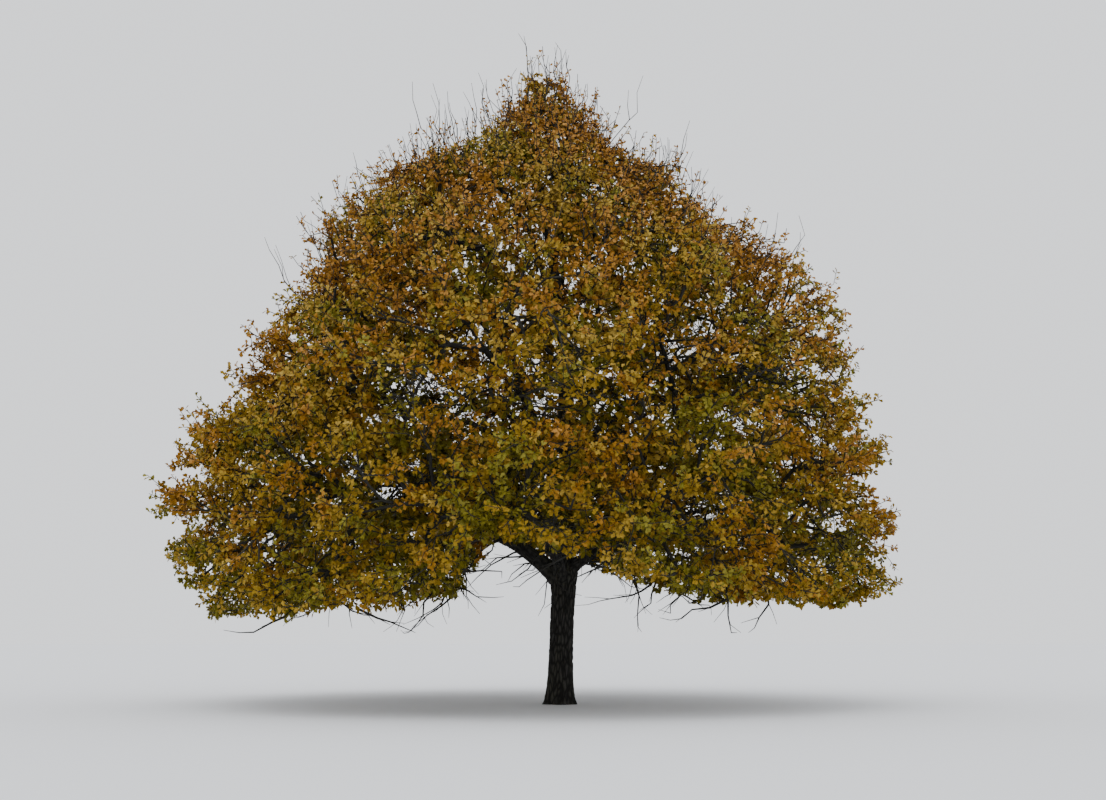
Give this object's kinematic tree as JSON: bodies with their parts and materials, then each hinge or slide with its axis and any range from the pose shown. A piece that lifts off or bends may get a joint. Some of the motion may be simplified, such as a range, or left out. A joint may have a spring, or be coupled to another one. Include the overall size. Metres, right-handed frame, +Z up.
{
  "type": "oak tree",
  "caption": "Open-grown deciduous oak in autumn leaf, with a flared trunk, a low fork, spreading boughs and a broad domed crown, rooted at a flat cut at ground level.",
  "frame": {"origin": "centre of the flat cut under the trunk, at ground level", "axes": "+Z up the trunk; +X to the right and -Y towards the viewer in the view from which the tree was taken"},
  "size_m": [15.9439, 15.6523, 14.9004],
  "materials": {
    "bark": "rough furrowed bark",
    "foliage": "matt autumn leaves in ochre, orange and olive"
  },
  "bodies": {
    "root": {"trunk": "bark", "leader": "bark", "skirt_bough_1": "bark", "skirt_bough_2": "bark", "skirt_bough_3": "bark", "skirt_bough_4": "bark", "skirt_bough_5": "bark", "skirt_bough_6": "bark", "skirt_bough_7": "bark", "skirt_bough_8": "bark", "skirt_bough_9": "bark", "heart_bough_1": "bark", "heart_bough_2": "bark", "heart_bough_3": "bark", "middle_bough_1": "bark", "middle_bough_2": "bark", "middle_bough_3": "bark", "middle_bough_4": "bark", "middle_bough_5": "bark", "middle_bough_6": "bark", "middle_bough_7": "bark", "upper_bough_1": "bark", "upper_bough_2": "bark", "upper_bough_3": "bark", "upper_bough_4": "bark", "upper_bough_5": "bark", "crest_bough_1": "bark", "crest_bough_2": "bark", "crest_bough_3": "bark", "skirt_1_foliage": "foliage", "skirt_2_foliage": "foliage", "skirt_3_foliage": "foliage", "skirt_4_foliage": "foliage", "skirt_5_foliage": "foliage", "skirt_6_foliage": "foliage", "skirt_7_foliage": "foliage", "skirt_8_foliage": "foliage", "skirt_9_foliage": "foliage", "heart_1_foliage": "foliage", "heart_2_foliage": "foliage", "heart_3_foliage": "foliage", "middle_1_foliage": "foliage", "middle_2_foliage": "foliage", "middle_3_foliage": "foliage", "middle_4_foliage": "foliage", "middle_5_foliage": "foliage", "middle_6_foliage": "foliage", "middle_7_foliage": "foliage", "upper_1_foliage": "foliage", "upper_2_foliage": "foliage", "upper_3_foliage": "foliage", "upper_4_foliage": "foliage", "upper_5_foliage": "foliage", "crest_1_foliage": "foliage", "crest_2_foliage": "foliage", "crest_3_foliage": "foliage", "top_foliage": "foliage"}
  },
  "joints": []
}
